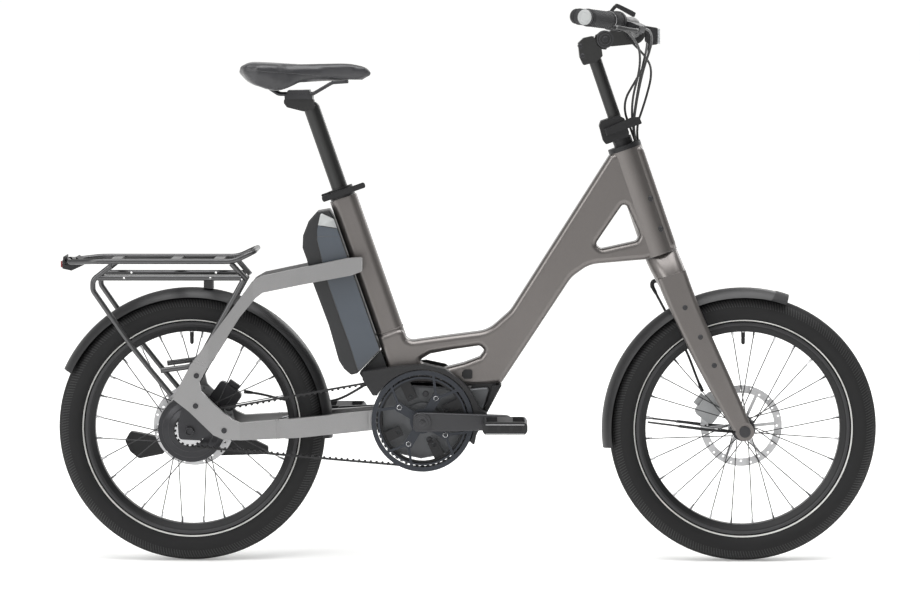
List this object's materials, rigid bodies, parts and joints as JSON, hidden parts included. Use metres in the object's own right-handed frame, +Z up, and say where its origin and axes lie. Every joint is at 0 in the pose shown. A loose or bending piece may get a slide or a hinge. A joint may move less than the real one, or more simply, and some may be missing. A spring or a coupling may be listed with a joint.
{
  "type": "electric city bicycle",
  "caption": "Compact low-step electric bicycle with small wheels, rear rack, belt drive, seat-tube battery and an adjustable turning handlebar mast.",
  "frame": {"origin": "on the ground, midway between the two axles and on the bicycle's middle plane", "axes": "+X forward along the bicycle, +Y to the rider's left, +Z up"},
  "size_m": [1.6, 0.6358, 1.0885],
  "materials": {
    "taupe_metal": "satin metallic taupe grey",
    "silver_metal": "satin light silver",
    "black_metal": "satin black powder coat",
    "grey_metal": "satin dark grey anodised look",
    "bare_steel": "brushed",
    "dark_plastic": "fine moulded grain",
    "battery_shell": "satin moulded",
    "battery_panel": "satin blue grey",
    "tyre_rubber": "fine tread",
    "grip_rubber": "ribbed",
    "cable_black": "smooth jacket",
    "saddle_vinyl": "satin charcoal vinyl",
    "lamp_lens": "clear"
  },
  "bodies": {
    "frame": {"front_frame": "taupe_metal", "seat_tube": "taupe_metal", "rear_stays": "silver_metal", "axle_hardware": "grey_metal", "battery_mount": "dark_plastic", "motor_unit": "grey_metal", "motor_covers": "dark_plastic", "rack": "grey_metal", "tail_light": "dark_plastic", "rear_fender": "dark_plastic", "kickstand_mount": "black_metal", "rear_calliper": "grey_metal", "rear_brake_hose": "cable_black", "seat_collar": "black_metal", "headset": "bare_steel", "belt": "cable_black"},
    "battery": {"battery_case": "battery_shell", "battery_panels": "battery_panel"},
    "seat_lever": {"seat_lever": "black_metal"},
    "seat": {"seat_post": "black_metal", "saddle_rails": "bare_steel", "saddle_base": "dark_plastic", "saddle_cover": "saddle_vinyl"},
    "port_cap": {"charge_port_cap": "dark_plastic"},
    "kickstand": {"kickstand_leg": "black_metal"},
    "rear_wheel": {"rear_tyre": "tyre_rubber", "rear_rim": "black_metal", "rear_spokes": "bare_steel", "rear_hub": "black_metal", "rear_rotor": "bare_steel"},
    "rear_sprocket": {"rear_sprocket": "bare_steel"},
    "crankset": {"crank_arms": "grey_metal", "crank_spider": "grey_metal", "belt_ring": "black_metal"},
    "pedal_right": {"pedal_right": "dark_plastic"},
    "pedal_left": {"pedal_left": "dark_plastic"},
    "fork": {"fork": "taupe_metal", "front_fender": "dark_plastic", "front_calliper": "grey_metal", "front_brake_hose": "cable_black", "fork_axle": "bare_steel"},
    "front_wheel": {"front_tyre": "tyre_rubber", "front_rim": "black_metal", "front_spokes": "bare_steel", "front_hub": "black_metal", "front_rotor": "bare_steel"},
    "stem_collar": {"stem_collar": "black_metal"},
    "stem_lever": {"stem_lever": "black_metal"},
    "mast": {"mast": "black_metal", "stem_head": "grey_metal", "control_cables": "cable_black"},
    "bar": {"bar_clamp": "grey_metal", "handlebar": "black_metal", "grips": "grip_rubber", "lever_bodies": "grey_metal", "display": "dark_plastic", "headlight": "dark_plastic"},
    "twist_shifter": {"twist_shifter": "grip_rubber"},
    "brake_lever_right": {"brake_lever_right": "black_metal"},
    "brake_lever_left": {"brake_lever_left": "black_metal"}
  },
  "joints": [
    {"name": "steering", "type": "hinge", "parent": "frame", "child": "fork", "pos_m": [0.3075, 0, 0.8065], "axis": [-0.3256, 0, 0.9455], "range_deg": [-60, 60]},
    {"name": "front_wheel_spin", "type": "hinge", "parent": "fork", "child": "front_wheel", "pos_m": [0.539, 0, 0.261], "axis": [0, 1, 0], "continuous": true},
    {"name": "rear_wheel_spin", "type": "hinge", "parent": "frame", "child": "rear_wheel", "pos_m": [-0.539, 0, 0.261], "axis": [0, 1, 0], "continuous": true},
    {"name": "crank_spin", "type": "hinge", "parent": "frame", "child": "crankset", "pos_m": [-0.08684, 0, 0.281], "axis": [0, 1, 0], "continuous": true},
    {"name": "sprocket_spin", "type": "hinge", "parent": "frame", "child": "rear_sprocket", "pos_m": [-0.539, 0, 0.261], "axis": [0, 1, 0], "continuous": true},
    {"name": "pedal_right_spin", "type": "hinge", "parent": "crankset", "child": "pedal_right", "pos_m": [0.07316, 0, 0.281], "axis": [0, 1, 0], "continuous": true},
    {"name": "pedal_left_spin", "type": "hinge", "parent": "crankset", "child": "pedal_left", "pos_m": [-0.24684, 0, 0.281], "axis": [0, 1, 0], "continuous": true},
    {"name": "stem_turn", "type": "hinge", "parent": "fork", "child": "stem_collar", "pos_m": [0.3075, 0, 0.8065], "axis": [-0.3256, 0, 0.9455], "range_deg": [0, 90]},
    {"name": "stem_height", "type": "slide", "parent": "stem_collar", "child": "mast", "axis": [-0.3256, 0, 0.9455], "range_m": [-0.06, 0.07], "deforming": ["control_cables"]},
    {"name": "stem_angle", "type": "hinge", "parent": "mast", "child": "bar", "pos_m": [0.26681, 0, 1.01988], "axis": [0, 1, 0], "range_deg": [-20, 45], "deforming": ["control_cables"]},
    {"name": "stem_lever_swing", "type": "hinge", "parent": "stem_collar", "child": "stem_lever", "pos_m": [0.27016, -0.0276, 0.84123], "axis": [0.3256, 0, -0.9455], "range_deg": [0, 120]},
    {"name": "seat_height", "type": "slide", "parent": "frame", "child": "seat", "axis": [-0.3289, 0, 0.9444], "range_m": [-0.08, 0.06]},
    {"name": "seat_lever_swing", "type": "hinge", "parent": "frame", "child": "seat_lever", "pos_m": [-0.27678, -0.018, 0.71154], "axis": [0.3289, 0, -0.9444], "range_deg": [0, 95]},
    {"name": "battery_swing", "type": "hinge", "parent": "frame", "child": "battery", "pos_m": [-0.196, 0, 0.368], "axis": [0, -1, 0], "range_deg": [0, 12]},
    {"name": "port_cap_flap", "type": "hinge", "parent": "frame", "child": "port_cap", "pos_m": [-0.008, -0.0283, 0.369], "axis": [0, 0, -1], "range_deg": [0, 90]},
    {"name": "kickstand_swing", "type": "hinge", "parent": "frame", "child": "kickstand", "pos_m": [-0.484, 0, 0.208], "axis": [0, -1, 0], "range_deg": [0, 98]},
    {"name": "twist_grip", "type": "hinge", "parent": "bar", "child": "twist_shifter", "pos_m": [0.222, -0.305, 1.063], "axis": [0.4938, 0.8673, -0.0633], "range_deg": [-60, 60]},
    {"name": "brake_right", "type": "hinge", "parent": "bar", "child": "brake_lever_right", "pos_m": [0.32137, -0.20639, 1.04067], "axis": [-0.328, 0.1184, -0.9372], "range_deg": [0, 12], "stiffness_Nm_per_rad": 1.2},
    {"name": "brake_left", "type": "hinge", "parent": "bar", "child": "brake_lever_left", "pos_m": [0.32137, 0.20639, 1.04067], "axis": [0.328, 0.1184, 0.9372], "range_deg": [0, 12], "stiffness_Nm_per_rad": 1.2}
  ],
  "couplings": [
    {"joint": "sprocket_spin", "follows": "crank_spin", "ratio": 2.8889}
  ]
}
